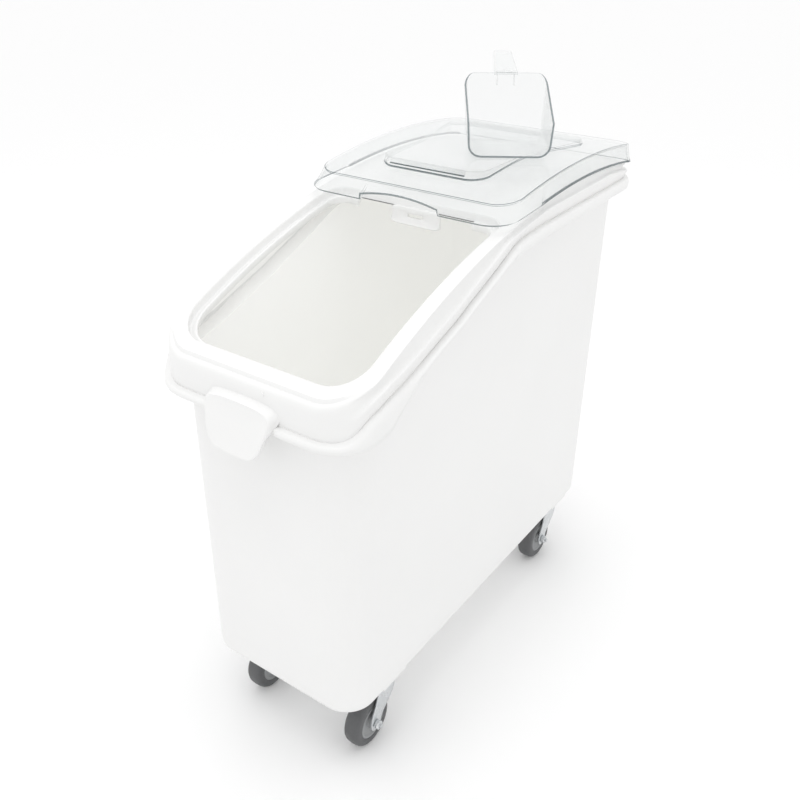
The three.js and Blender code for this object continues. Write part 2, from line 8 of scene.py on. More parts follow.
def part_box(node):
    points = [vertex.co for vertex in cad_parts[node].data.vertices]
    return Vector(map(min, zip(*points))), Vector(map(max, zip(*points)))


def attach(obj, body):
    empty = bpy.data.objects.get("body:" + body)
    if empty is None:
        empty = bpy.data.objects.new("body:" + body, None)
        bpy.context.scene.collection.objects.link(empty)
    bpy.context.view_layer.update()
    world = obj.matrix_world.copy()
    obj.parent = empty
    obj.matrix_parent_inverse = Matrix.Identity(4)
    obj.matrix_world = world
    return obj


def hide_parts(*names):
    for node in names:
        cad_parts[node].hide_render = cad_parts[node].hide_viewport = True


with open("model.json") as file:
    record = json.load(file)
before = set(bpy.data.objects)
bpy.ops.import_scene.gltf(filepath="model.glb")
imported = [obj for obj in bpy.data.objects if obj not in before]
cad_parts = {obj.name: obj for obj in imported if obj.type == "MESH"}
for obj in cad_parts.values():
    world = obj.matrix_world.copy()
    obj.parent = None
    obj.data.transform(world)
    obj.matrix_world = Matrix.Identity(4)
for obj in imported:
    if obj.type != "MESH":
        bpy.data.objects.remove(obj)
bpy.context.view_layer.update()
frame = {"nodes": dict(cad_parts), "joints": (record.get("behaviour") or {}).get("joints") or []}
nodes = frame["nodes"]
lidJoint = next(j for j in frame["joints"] if j["name"] == "lid_slide")
tubLow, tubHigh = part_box("bin_tub")

# Shapes are worked out in millimetres about the middle of the tub's rim, then put in their place
midY = (tubLow.y + tubHigh.y) / 2 * 1000
toRow = Matrix.Scale(0.001, 4) @ Matrix.Translation((0, midY, 0))
axisY = lidJoint["pos_m"][1] * 1000 - midY
axisZ = lidJoint["pos_m"][2] * 1000
print("frame loaded,", len(nodes), "nodes")


def mix(a, b, t):
    return a + (b - a) * t


def ease(low, high, value):
    t = min(max((value - low) / (high - low), 0), 1)
    return t * t * (3 - 2 * t)


def arc(radius, y):
    # height of a rail cylinder over one place along the bin
    return math.sqrt(radius ** 2 - (y - axisY) ** 2) + axisZ


def along(line, y):
    # height of a stepped line at y
    for (y0, z0), (y1, z1) in zip(line, line[1:]):
        if y <= y1:
            return mix(z0, z1, max(0, (y - y0) / (y1 - y0)))
    return line[-1][1]


def softened(line, y, reach):
    return sum(along(line, y + reach * k / 3) for k in range(-3, 4)) / 7


# Finishes: each one is noise on Object coordinates, in metres

def noiseAt(tree, scale, detail=3):
    coords = tree.nodes.new("ShaderNodeTexCoord")
    place = tree.nodes.new("ShaderNodeMapping")
    noise = tree.nodes.new("ShaderNodeTexNoise")
    noise.inputs["Scale"].default_value = scale
    noise.inputs["Detail"].default_value = detail
    tree.links.new(coords.outputs["Object"], place.inputs["Vector"])
    tree.links.new(place.outputs["Vector"], noise.inputs["Vector"])
    return noise.outputs["Fac"]


def ramp(tree, source, low, high, start=0.3, end=0.7):
    spread = tree.nodes.new("ShaderNodeMapRange")
    spread.inputs["From Min"].default_value = start
    spread.inputs["From Max"].default_value = end
    spread.inputs["To Min"].default_value = low
    spread.inputs["To Max"].default_value = high
    tree.links.new(source, spread.inputs["Value"])
    return spread.outputs["Result"]


def tintBetween(tree, source, dark, light):
    blend = tree.nodes.new("ShaderNodeMix")
    blend.data_type = "RGBA"
    blend.inputs[6].default_value = (*dark, 1)
    blend.inputs[7].default_value = (*light, 1)
    tree.links.new(source, blend.inputs["Factor"])
    return blend.outputs[2]


def newFinish(name):
    finish = bpy.data.materials.new(name)
    finish.use_nodes = True
    shader = finish.node_tree.nodes["Principled BSDF"]
    return finish, finish.node_tree, shader


def solidFinish(name, dark, light, rough, metal=0.0, grain=250, bump=0.02, patch=6, paintedGlow=0.0):
    finish, tree, shader = newFinish(name)
    broad = noiseAt(tree, patch, 4)
    fine = noiseAt(tree, grain, 4)
    tree.links.new(tintBetween(tree, broad, dark, light), shader.inputs["Base Color"])
    tree.links.new(ramp(tree, fine, rough[0], rough[1]), shader.inputs["Roughness"])
    shader.inputs["Metallic"].default_value = metal
    # emission is painted light: only the inner-wall finish uses it, as a painted glow
    shader.inputs["Emission Color"].default_value = (1, 1, 0.985, 1)
    shader.inputs["Emission Strength"].default_value = paintedGlow
    relief = tree.nodes.new("ShaderNodeBump")
    relief.inputs["Strength"].default_value = bump
    relief.inputs["Distance"].default_value = 0.001
    tree.links.new(fine, relief.inputs["Height"])
    tree.links.new(relief.outputs["Normal"], shader.inputs["Normal"])
    return finish


def clearFinish(name, through, shade, facing, grazing, rough=0.05):
    # see-through sheet: light passes face on, and the gloss takes over at a slant
    finish, tree, shader = newFinish(name)
    smear = noiseAt(tree, 14)
    tree.links.new(tintBetween(tree, smear, shade, [c * 1.06 for c in shade]),
                   shader.inputs["Base Color"])
    tree.links.new(ramp(tree, smear, rough, rough + 0.05), shader.inputs["Roughness"])
    passing = tree.nodes.new("ShaderNodeBsdfTransparent")
    passing.inputs["Color"].default_value = (*through, 1)
    slant = tree.nodes.new("ShaderNodeLayerWeight")
    slant.inputs["Blend"].default_value = 0.5
    share = tree.nodes.new("ShaderNodeMapRange")
    share.interpolation_type = "SMOOTHERSTEP"
    share.inputs["From Min"].default_value = 0.35
    share.inputs["To Min"].default_value = facing
    share.inputs["To Max"].default_value = grazing
    tree.links.new(slant.outputs["Facing"], share.inputs["Value"])
    join = tree.nodes.new("ShaderNodeMixShader")
    tree.links.new(share.outputs["Result"], join.inputs["Fac"])
    tree.links.new(passing.outputs["BSDF"], join.inputs[1])
    tree.links.new(shader.outputs["BSDF"], join.inputs[2])
    tree.links.new(join.outputs["Shader"], tree.nodes["Material Output"].inputs["Surface"])
    return finish


finishes = {
    "white": solidFinish("satin white polyethylene", (0.82, 0.82, 0.815), (0.855, 0.855, 0.85),
                         (0.34, 0.46), bump=0.05),
    # painted glow: the inner walls emit a faint light of their own, standing in for the daylight that
    # would soak through the milky wall
    "inside": solidFinish("milky inner wall with painted glow", (0.79, 0.79, 0.78), (0.83, 0.83, 0.82), (0.42, 0.55),
                          bump=0.05, paintedGlow=0.15),
    "clear": clearFinish("clear polycarbonate", (0.982, 0.985, 0.985), (0.74, 0.75, 0.75), 0.035, 0.52),
    # darker copy of the clear finish: the sheet's own tint seen through its thickness at cut edges, and
    # painted shade for the dark lines at the lid's bends, skirt foot and pull ledge
    "edge": clearFinish("polycarbonate edge tint and painted shade", (0.5, 0.54, 0.55), (0.16, 0.19, 0.2), 0.5, 0.85),
    "zinc": solidFinish("bright zinc plate", (0.6, 0.62, 0.64), (0.74, 0.755, 0.76), (0.22, 0.38),
                        metal=1.0, grain=90, bump=0.03, patch=40),
    "tyre": solidFinish("grey rubber tread", (0.085, 0.087, 0.09), (0.115, 0.117, 0.12), (0.45, 0.62),
                        grain=500, bump=0.1, patch=60),
    "hub": solidFinish("grey moulded hub", (0.27, 0.28, 0.285), (0.33, 0.335, 0.34), (0.35, 0.5),
                       grain=400, bump=0.05, patch=60),
}


def finishPiece(bm, name, body, coats, stands=(), sharp=32, place=toRow, merge=0.0):
    if merge:
        bmesh.ops.remove_doubles(bm, verts=bm.verts, dist=merge)
    bmesh.ops.transform(bm, matrix=place, verts=bm.verts)
    bmesh.ops.recalc_face_normals(bm, faces=bm.faces)
    for face in bm.faces:
        face.smooth = True
    for edge in bm.edges:
        if len(edge.link_faces) == 2 and edge.calc_face_angle(0) > math.radians(sharp):
            edge.smooth = False
    mesh = bpy.data.meshes.new(name)
    bm.to_mesh(mesh)
    bm.free()
    piece = bpy.data.objects.new(name, mesh)
    bpy.context.scene.collection.objects.link(piece)
    for coat in coats:
        mesh.materials.append(finishes[coat])
    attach(piece, body)
    if stands:
        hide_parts(*stands)
    return piece


def loftRings(rings, lowCap=False, highCap=False, paintedLightRings=()):
    # each ring is the edge loop of the last one, extruded and set to its own line
    bm = bmesh.new()
    stopOf = bm.verts.layers.int.new("stop")
    loop = bmesh.ops.create_circle(bm, segments=len(rings[0]), radius=1)["verts"]
    for stop, vert in enumerate(loop):
        vert[stopOf] = stop
    edges = list({e for v in loop for e in v.link_edges})
    lowEdges = edges
    for count, ring in enumerate(rings):
        if count:
            grown = bmesh.ops.extrude_edge_only(bm, edges=edges)["geom"]
            loop = [g for g in grown if isinstance(g, bmesh.types.BMVert)]
            edges = [g for g in grown if isinstance(g, bmesh.types.BMEdge)]
        for face in {f for e in edges for f in e.link_faces}:
            # a new face takes its neighbour's finish, so each one is set
            face.material_index = 1 if count in paintedLightRings else 0
        for vert in loop:
            vert.co = ring[vert[stopOf]]
    if lowCap:
        bmesh.ops.contextual_create(bm, geom=lowEdges)
    if highCap:
        bmesh.ops.contextual_create(bm, geom=edges)
    return bm


def roundStops(front, corner=22, side=84, rear=(0.8, 0.6, 0.4, 0.2, 0)):
    # stops round a rim, seen from above; the front ones keep their distance from the centre
    stops = [("front", -x) for x in reversed(front[1:])] + [("front", x) for x in front]
    quarter = [math.pi / 2 * k / corner for k in range(corner + 1)]
    stops += [("frontRight", a) for a in quarter]
    stops += [("right", k / side) for k in range(1, side)]
    stops += [("rearRight", a) for a in quarter]
    stops += [("rear", t) for t in rear] + [("rear", -t) for t in reversed(rear[:-1])]
    stops += [("rearLeft", a) for a in quarter]
    stops += [("left", k / side) for k in range(1, side)]
    stops += [("frontLeft", a) for a in quarter]
    return stops


def rimPoint(stop, half, front, rear, corner, held=75, back=None):
    part, t = stop
    straight = half - corner
    back = corner if back is None else back
    if part == "front":
        x = t if abs(t) <= held else math.copysign(held + (abs(t) - held) * (straight - held), t)
        return x, front
    if part == "right":
        return half, mix(front + corner, rear - back, t)
    if part == "left":
        return -half, mix(rear - back, front + corner, t)
    if part == "rear":
        return t * (half - back), rear
    if part == "frontRight":
        return straight + corner * math.sin(t), front + corner - corner * math.cos(t)
    if part == "rearRight":
        return half - back + back * math.cos(t), rear - back + back * math.sin(t)
    if part == "rearLeft":
        return back - half - back * math.sin(t), rear - back + back * math.cos(t)
    return -straight - corner * math.cos(t), front + corner - corner * math.sin(t)


# Tub, in millimetres; gap is the line between tub and top frame, from front to rear
rim = {
    "half": 163, "front": -371, "rear": 371, "corner": 67,
    "gap": [(-420, 548), (-352, 548), (-341, 555), (-326, 574), (-304, 584), (-272, 591), (-239, 601),
            (-200, 614), (-156, 628), (-133, 638), (-75, 660), (-26, 681), (-7, 685), (40, 687.5),
            (420, 688)],
    "beadFront": 536, "beadTop": (55, 671), "beadArc": 570, "beadArcEnd": -296, "beadLeast": 7,
    "beadEnd": 47.8,
    "frontStops": [0, 15, 30, 40, 45, 47, 47.8, 48.3, 49.4, 50.9, 52.9, 56, 61, 68, 75, 75.5],
}
rimStops = roundStops(rim["frontStops"], rear=(0.94, 0.885, 0.864, 0.85, 0.82, 0.72, 0.55, 0.37, 0.18, 0))


def gapHeight(y):
    return softened(rim["gap"], y, 7)


def beadHeight(y):
    topY, topZ = rim["beadTop"]
    if y > topY:
        low = topZ
    elif y > rim["beadArcEnd"]:
        low = topZ - rim["beadArc"] + math.sqrt(rim["beadArc"] ** 2 - (y - topY) ** 2)
    else:
        end = topZ - rim["beadArc"] + math.sqrt(rim["beadArc"] ** 2 - (rim["beadArcEnd"] - topY) ** 2)
        low = mix(rim["beadFront"], end, ease(-352, rim["beadArcEnd"] + 14, y))
    return min(low, gapHeight(y) - rim["beadLeast"])


def rimAt(stop, inset):
    return rimPoint(stop, rim["half"] - inset, rim["front"] + inset, rim["rear"] - inset,
                    rim["corner"] - inset)


tub = {
    "topInset": 23, "draft": 11, "endDraft": 13.2, "topCorner": 55.5, "bottomCorner": 44, "bottom": 114,
    "round": 14, "wall": 3.5, "floor": 118, "innerRound": 16, "setBack": 13.5, "insideRings": 12,
    "wallRings": 30, "pad": (33, 28, 9),
}


def tubWall(stop, z, inset=0):
    lean = (688 - z) / (688 - tub["bottom"])
    half = rim["half"] - tub["topInset"] - tub["draft"] * lean - inset
    front = rim["front"] + tub["topInset"] + tub["endDraft"] * lean + inset
    rear = rim["rear"] - tub["topInset"] - tub["endDraft"] * lean - inset
    corner = mix(tub["topCorner"], tub["bottomCorner"], lean) - inset
    return rimPoint(stop, half, front, rear, max(corner, 8))


def tubRings():
    rings = []
    for step in range(6):
        a = math.radians(90 * step / 5)
        inset = tub["round"] * (1 - math.sin(a))
        z = tub["bottom"] + tub["round"] * (1 - math.cos(a))
        rings.append([(*tubWall(s, z, inset), z) for s in rimStops])
    wallLow = tub["bottom"] + tub["round"]
    underY = [beadHeight(rimAt(s, tub["topInset"])[1]) for s in rimStops]
    for step in range(1, tub["wallRings"] + 1):
        t = step / tub["wallRings"]
        ring = []
        for s, under in zip(rimStops, underY):
            z = mix(wallLow, under - 7, t)
            ring.append((*tubWall(s, z), z))
        rings.append(ring)

    # bead: out from the wall, round its outer face and in to the gap under the frame
    bead = [(22.2, 0, -4.2), (21.2, 0, -2.2), (19.2, 0, -0.8), (16, 0, 0), (11, 0, 0), (6.5, 0, 0.2),
            (4, 0, 0.9),
            (2.1, 0, 2.1), (0.8, 0, 3.8), (0.2, 0.25, 4), (0, 0.5, 1), (0.3, 0.72, 0), (1.2, 0.86, 0),
            (2.8, 0.95, 0),
            (5, 1, -0.3), (8, 1, 0.3), (9.4, 1, 0.3), (10.2, 1, -0.6), (10.6, 1, -3), (11, 1, -6)]
    for count, (inset, up, lift) in enumerate(bead):
        # behind the tongue the bead is set back, with a narrow top of its own
        setBack = max(inset, tub["setBack"]) if count < 15 else inset + 8
        ring = []
        for s in rimStops:
            x, y = rimAt(s, inset)
            reach = 1.0
            if s[0] == "front":
                past = (abs(x) - rim["beadEnd"]) / 5
                reach = 0 if past <= 0 else math.sqrt(1 - (1 - min(past, 1)) ** 2)
            x, y = rimAt(s, mix(setBack, inset, reach))
            gap, low = gapHeight(y), beadHeight(y)
            tall = gap - low
            near = min(1, tall / 12)
            z = low + tall * up + lift * near
            ring.append((x, y, z))
        rings.append(ring)

    # inside of the tub, from a narrow shelf behind the bead down to its floor
    for step in range(tub["insideRings"]):
        t = step / (tub["insideRings"] - 1)
        ring = []
        for s in rimStops:
            z = mix(gapHeight(rimAt(s, 14)[1]) - 7, tub["floor"] + tub["innerRound"], t)
            ring.append((*tubWall(s, z, tub["wall"]), z))
        rings.append(ring)
    for step in range(1, 6):
        a = math.radians(90 * step / 5)
        inset = tub["wall"] + tub["innerRound"] * (1 - math.cos(a))
        z = tub["floor"] + tub["innerRound"] * (1 - math.sin(a))
        rings.append([(*tubWall(s, z, inset), z) for s in rimStops])
    return rings


tubLoops = tubRings()
# painted glow: the inside of the tub (its last 17 rings and the floor cap) takes the inner-wall finish
tubMesh = loftRings(tubLoops, lowCap=True, highCap=True, paintedLightRings=range(len(tubLoops) - 17, len(tubLoops)))
for face in tubMesh.faces:
    if face.calc_center_median().z > tub["bottom"] + 1 and len(face.verts) > 4:
        face.material_index = 1
finishPiece(tubMesh, "bin_tub_shell", "tub", ["white", "inside"], ["bin_tub"], sharp=40)
print("tub made")


# Caster pads under the tub

def roundedBlock(bm, centre, size, soft, segments=3):
    made = bmesh.ops.create_cube(bm, size=1)["verts"]
    bmesh.ops.scale(bm, vec=size, verts=made)
    bmesh.ops.translate(bm, vec=centre, verts=made)
    edges = list({e for v in made for e in v.link_edges})
    bmesh.ops.bevel(bm, geom=edges, offset=soft, segments=segments, affect="EDGES", profile=0.5,
                    material=-1)


casterSpots = {}
for corner in ("front_left", "front_right", "rear_left", "rear_right"):
    joint = next(j for j in frame["joints"] if j["name"] == corner + "_swivel_turn")
    casterSpots[corner] = (joint["pos_m"][0] * 1000, joint["pos_m"][1] * 1000 - midY)
pads = bmesh.new()
for spotX, spotY in casterSpots.values():
    padX, padY, padZ = tub["pad"]
    roundedBlock(pads, (spotX, spotY, tub["bottom"] - 8 + padZ / 2), (padX * 2 - 2, padY * 2 - 2, padZ),
                 2.5)
finishPiece(pads, "caster_pads", "tub", ["white"])


# Top frame; mouth is (half width, front, rear, front corner, rear corner)
shell = {
    "inset": 9, "rail": 1100, "lip": 1090, "ridge": 21, "styleStart": -352, "styleEnd": -320,
    "mouth": (127, -329, -25, 42, 22), "step": 9, "wall": 3.5, "landRings": 16,
    "recess": 0.857, "recessY": -18, "recessFoot": 696.5,
}


def mouthAt(stop, grow):
    half, front, rear, corner, back = shell["mouth"]
    return rimPoint(stop, half + grow, front - grow, rear + grow, corner + grow * 0.6,
                    back=back + grow * 0.6)


def inRecess(stop):
    # the middle of the deck's front edge is set back behind its corners
    return stop[0] == "rear" and abs(stop[1]) < shell["recess"]


def ridgeHeight(y):
    return min(gapHeight(y) + shell["ridge"], arc(shell["lip"], y) + 1)


def frameWall(side, front):
    # one ring of the outer wall; side and front are (inset, height) rules for the two styles of wall
    ring = []
    for s in rimStops:
        y = rimAt(s, shell["inset"])[1]
        g, r, e = gapHeight(y), ridgeHeight(y), arc(shell["rail"], y)
        blend = ease(shell["styleStart"], shell["styleEnd"], y)
        insetA, zA = front(g, r, e)
        insetB, zB = side(g, r, e)
        x, y = rimAt(s, mix(insetA, insetB, blend))
        ring.append((x, y, mix(zA, zB, blend)))
    return ring


def frameRings():
    wallRules = [
        (lambda g, r, e: (9.9, g + 0.5), lambda g, r, e: (9.4, g + 0.5)),
        (lambda g, r, e: (8.6, g + 2.2), lambda g, r, e: (9, g + 2)),
        (lambda g, r, e: (6.9, g + 7), lambda g, r, e: (9, g + 6)),
        (lambda g, r, e: (5.4, mix(g, r, 0.66)), lambda g, r, e: (9, g + 12)),
        (lambda g, r, e: (4.6, r - 3.4), lambda g, r, e: (9, mix(g, e, 0.36))),
        (lambda g, r, e: (4.5, r - 1.9), lambda g, r, e: (9, mix(g, e, 0.4))),
        (lambda g, r, e: (4.9, r - 0.7), lambda g, r, e: (9, mix(g, e, 0.45))),
        (lambda g, r, e: (5.8, r), lambda g, r, e: (9, mix(g, e, 0.5))),
        (lambda g, r, e: (7.3, r + 0.2), lambda g, r, e: (9, mix(g, e, 0.55))),
        (lambda g, r, e: (8.9, mix(r, e, 0.06)), lambda g, r, e: (9, mix(g, e, 0.6))),
        (lambda g, r, e: (10.2, mix(r, e, 0.16)), lambda g, r, e: (9, mix(g, e, 0.65))),
        (lambda g, r, e: (11, mix(r, e, 0.32)), lambda g, r, e: (9.1, mix(g, e, 0.7))),
        (lambda g, r, e: (11.4, mix(r, e, 0.52)), lambda g, r, e: (9.2, mix(g, e, 0.76))),
        (lambda g, r, e: (11.5, mix(r, e - 3.4, 0.9)), lambda g, r, e: (9.4, e - 8.5)),
        (lambda g, r, e: (11.4, e - 2.8), lambda g, r, e: (10, e - 5.4)),
        (lambda g, r, e: (9.4, e - 2.3), lambda g, r, e: (11.1, e - 3.1)),
        (lambda g, r, e: (9.05, e - 1.9), lambda g, r, e: (12.6, e - 1.5)),
        (lambda g, r, e: (9, e - 0.7), lambda g, r, e: (14.4, e - 0.5)),
        (lambda g, r, e: (9.4, e - 0.1), lambda g, r, e: (16.2, e - 0.1)),
    ]
    rings = [frameWall(*rule) for rule in wallRules]
    for step in range(shell["landRings"] + 1):
        t = step / shell["landRings"]
        ring = []
        for s in rimStops:
            blend = ease(shell["styleStart"], shell["styleEnd"], rimAt(s, shell["inset"])[1])
            outer = rimAt(s, mix(18, 10.4, blend))
            inner = mouthAt(s, shell["step"] + 1.2)
            x, y = mix(outer[0], inner[0], t), mix(outer[1], inner[1], t)
            ring.append((x, y, arc(shell["rail"], y)))
        rings.append(ring)
    lipRules = [(10.2, 1100, -0.3), (9.4, 1100, -0.9), (9, 1100, -2), (8.8, 1090, 1.6), (8.2, 1090, 0.3),
                (7, 1090, -0.2), (5.4, 1090, -0.2), (3.9, 1090, 0.5), (2.6, 1090, 1.3), (1.4, 1090, 1.4),
                (0.5, 1090, 0.8), (0, 1090, -0.4), (0, 1090, -4), (0.2, 1090, -7.8), (0.9, 1090, -8.8),
                (2, 1090, -9), (2.9, 1090, -8.4), (3.1, 1090, -7.4), (3.2, 1090, -5), (4.4, 1090, -3.6),
                (9.6, 1090, -3.3), (12, 1090, -1.6), (12.6, 1100, -4.6)]
    for grow, radius, lift in lipRules:
        ring = []
        for s in rimStops:
            x, y = mouthAt(s, grow)
            z = arc(radius, y) + lift
            if inRecess(s):
                y = max(y, shell["recessY"])
                z = max(z, shell["recessFoot"])
            ring.append((x, y, z))
        rings.append(ring)
    for step in range(1, 9):
        t = step / 8
        ring = []
        for s in rimStops:
            outer, inner = rimAt(s, 17), mouthAt(s, 13.5)
            x, y = mix(inner[0], outer[0], t), mix(inner[1], outer[1], t)
            ring.append((x, y, arc(shell["rail"], y) - shell["wall"] - 0.6))
        rings.append(ring)
    rings.append(frameWall(lambda g, r, e: (14.6, e - 7), lambda g, r, e: (14, e - 9)))
    rings.append(frameWall(lambda g, r, e: (14.2, mix(g, e, 0.5)), lambda g, r,
                           e: (12.6, mix(g, e, 0.5))))
    rings.append(frameWall(lambda g, r, e: (12.6, g + 3), lambda g, r, e: (12.4, g + 3)))
    rings.append(frameWall(lambda g, r, e: (12.2, g + 0.7), lambda g, r, e: (12.2, g + 0.7)))
    rings.append(rings[0])
    return rings


frameLoops = frameRings()
# painted glow: the frame's underside and the inside of its outer wall take the inner-wall finish
frameMesh = loftRings(frameLoops, paintedLightRings=range(len(frameLoops) - 13, len(frameLoops) - 1))
finishPiece(frameMesh, "top_frame_shell", "top_frame", ["white", "inside"],
            ["top_frame"], sharp=38, merge=1e-4)
print("top frame made")


# Thumb tongue and slotted tab on the frame

tongue = {
    "top": 568, "bottom": 506, "topHalf": 55.5, "bottomHalf": 33, "squareness": 0.42, "wallFace": -360.5,
    "lean": [(500, -387), (507, -386.8), (530, -381.6), (548, -377), (562, -373.2), (575, -371)],
    "stops": 96,
}


def tonguePoint(index, scale, bulge=0.0):
    a = 2 * math.pi * index / tongue["stops"]
    c, s = math.cos(a), math.sin(a)
    u = math.copysign(abs(c) ** tongue["squareness"], c)
    v = math.copysign(abs(s) ** tongue["squareness"], s)
    high, low = tongue["top"], tongue["bottom"]
    crown = 2.5 * (1 - u * u) * max(0, v)
    z = mix(low, high, (v + 1) / 2) - 2.5 + crown
    half = mix(tongue["bottomHalf"], tongue["topHalf"], ((v + 1) / 2) ** 0.85)
    centreZ = (low + high) / 2
    return (half * u * scale + bulge * u, centreZ + (z - centreZ) * scale + bulge * v)


def tongueRing(scale, depth, wallShare=0.0, grow=0.0):
    ring = []
    for index in range(tongue["stops"]):
        x, z = tonguePoint(index, scale)
        up = ease(534, 556, z)
        if grow:
            x, z = tonguePoint(index, scale, grow * up)
        face = along(tongue["lean"], z) + depth
        ring.append((x, mix(face, tongue["wallFace"], wallShare * up), z))
    return ring


tongueRings = [
    tongueRing(0.3, 6.2), tongueRing(0.8, 5.2), tongueRing(0.96, 4.6, 0.6),
    tongueRing(0.99, 3.6, 0.95, 5),
    tongueRing(1.0, 2.2, 0.82, 2.4), tongueRing(1.0, 1.2, 0.55, 0.9), tongueRing(0.992, 0.5, 0.28, 0.2),
    tongueRing(0.975, 0.1, 0.08), tongueRing(0.95, 0, 0.0), tongueRing(0.91, 0.25), tongueRing(0.8, 0.9),
    tongueRing(0.6, 1.7), tongueRing(0.35, 2.2), tongueRing(0.12, 2.35),
]
tongueMesh = loftRings(tongueRings, lowCap=True, highCap=True)
finishPiece(tongueMesh, "thumb_tongue", "top_frame", ["white"], sharp=50)

gateMark = {"place": (30.5, -362.2, 581), "low": 2.6, "high": 2.2, "thick": 1.2}
tab = {"half": 39, "high": 698.5, "low": 673.5, "front": -20, "rear": -15.4, "slot": (12.5, 684.5, 690),
       "stops": 64}


def tabRing(halfX, low, high, y, power, swell=0.0):
    ring = []
    for index in range(tab["stops"]):
        a = 2 * math.pi * index / tab["stops"]
        c, s = math.cos(a), math.sin(a)
        x = halfX * math.copysign(abs(c) ** power, c)
        z = mix(low, high, (math.copysign(abs(s) ** power, s) + 1) / 2)
        ring.append((x, y + swell * (1 - ease(tab["low"] + 3, tab["low"] + 9, z)), z))
    return ring


slotHalf, slotLow, slotHigh = tab["slot"]
tabRings = [
    tabRing(slotHalf, slotLow, slotHigh, tab["front"] + 0.6, 0.35),
    tabRing(slotHalf + 0.6, slotLow - 0.6, slotHigh + 0.6, tab["front"], 0.35),
    tabRing(mix(slotHalf, tab["half"], 0.6), mix(slotLow, tab["low"], 0.5),
            mix(slotHigh, tab["high"], 0.6), tab["front"], 0.3),
    tabRing(tab["half"] - 1.6, tab["low"] + 2, tab["high"] - 1.6, tab["front"], 0.25, -2.2),
    tabRing(tab["half"] - 0.4, tab["low"] + 0.5, tab["high"] - 0.4, tab["front"] + 0.7, 0.25, -1.6),
    tabRing(tab["half"], tab["low"], tab["high"], tab["front"] + 1.8, 0.25, -0.4),
    tabRing(tab["half"], tab["low"], tab["high"], tab["rear"] - 1.4, 0.25, 0.6),
    tabRing(tab["half"] - 1, tab["low"] + 1, tab["high"] - 1, tab["rear"], 0.25, 1.4),
    tabRing(slotHalf + 0.5, slotLow - 0.5, slotHigh + 0.5, tab["rear"], 0.35),
    tabRing(slotHalf, slotLow, slotHigh, tab["rear"] - 0.5, 0.35),
]
tabRings.append(tabRings[0])
tabMesh = loftRings(tabRings)
finishPiece(tabMesh, "hanger_tab", "top_frame", ["white"], sharp=45, merge=1e-4)

gate = bmesh.new()
bmesh.ops.create_cone(gate, cap_ends=True, segments=24, radius1=gateMark["low"], radius2=gateMark["high"],
                      depth=gateMark["thick"])
gatePlace = Matrix.Translation(gateMark["place"]) @ Matrix.Rotation(math.pi / 2, 4, "X")
bmesh.ops.transform(gate, matrix=gatePlace, verts=gate.verts)
finishPiece(gate, "front_gate_mark", "top_frame", ["white"])
print("tongue and tab made")


# Sliding lid

lid = {
    "half": 159.5, "front": -62, "rear": 354, "corner": 38, "top": 1130,
    "frontSkirt": [(-62, 713), (39, 719)],
    "sideSkirt": 1103, "wrapEnd": 39, "thick": 2.8, "arch": 62, "archEnd": 7, "archRise": 8,
    "islandTop": 755,
    "frontStops": [0, 10, 20, 30, 40, 48, 55, 59, 61.4, 62.2, 63.5, 66, 70, 75, 75.3, 75.65],
    "skirt": [(0, 0), (0.1, 0.12), (0.25, 0.3), (0.45, 0.5), (0.65, 0.68), (0.85, 0.84), (1, 0.95)],
    "lean": {"front": 20, "side": 5.5},
}
lidStops = roundStops(lid["frontStops"], corner=18, side=90)


def lidAt(stop, side, front, rear=None):
    # outline of the lid, drawn in by different amounts at its sides and its front
    rear = side if rear is None else rear
    half = lid["half"] - side
    corner = lid["corner"] - (side + front) * 0.2
    return rimPoint(stop, half, lid["front"] + front, lid["rear"] - rear, corner)


def skirtFoot(stop):
    x, y = lidAt(stop, 0, 0)
    if y > lid["wrapEnd"]:
        return arc(lid["sideSkirt"], y)
    z = along(lid["frontSkirt"], y)
    if stop[0] == "front" and abs(x) < lid["arch"]:
        z += lid["archEnd"] + lid["archRise"] * (1 - (x / lid["arch"]) ** 2)
    return z


island = {
    "front": 8, "half": 81.5, "corner": 26, "flareStart": 130, "flareEnd": 246, "flareHalf": 112,
    "rear": 266, "rearCorner": 22,
}


def islandPoint(stop, grow=0.0):
    part, t = stop
    half = island["half"]
    sign = -1 if part in ("left", "rearLeft", "frontLeft") else 1
    if part == "front":
        narrowed = (half - island["corner"]) / (lid["half"] - lid["corner"])
        x = rimPoint(stop, lid["half"], 0, 1, lid["corner"])[0] * narrowed
        return x * (1 + grow / half), island["front"] - grow
    if part in ("frontRight", "frontLeft"):
        a = t if part == "frontRight" else math.pi / 2 - t
        x = half - island["corner"] + (island["corner"] + grow) * math.sin(a)
        y = island["front"] + island["corner"] - (island["corner"] + grow) * math.cos(a)
        return sign * x, y
    if part in ("right", "left"):
        u = t if part == "right" else 1 - t
        y = mix(island["front"] + island["corner"], island["rear"] - island["rearCorner"], u)
        x = half + (island["flareHalf"] - half) * ease(island["flareStart"] - 25,
                                                       island["flareEnd"] + 20, y)
        return sign * (x + grow), y
    edge = half + (island["flareHalf"] - half) * ease(
        island["flareStart"] - 25, island["flareEnd"] + 20, island["rear"] - island["rearCorner"])
    if part == "rear":
        return t * (edge - island["rearCorner"]), island["rear"] + grow
    a = t if part == "rearRight" else math.pi / 2 - t
    x = edge - island["rearCorner"] + (island["rearCorner"] + grow) * math.cos(a)
    return sign * x, island["rear"] - island["rearCorner"] + (island["rearCorner"] + grow) * math.sin(a)


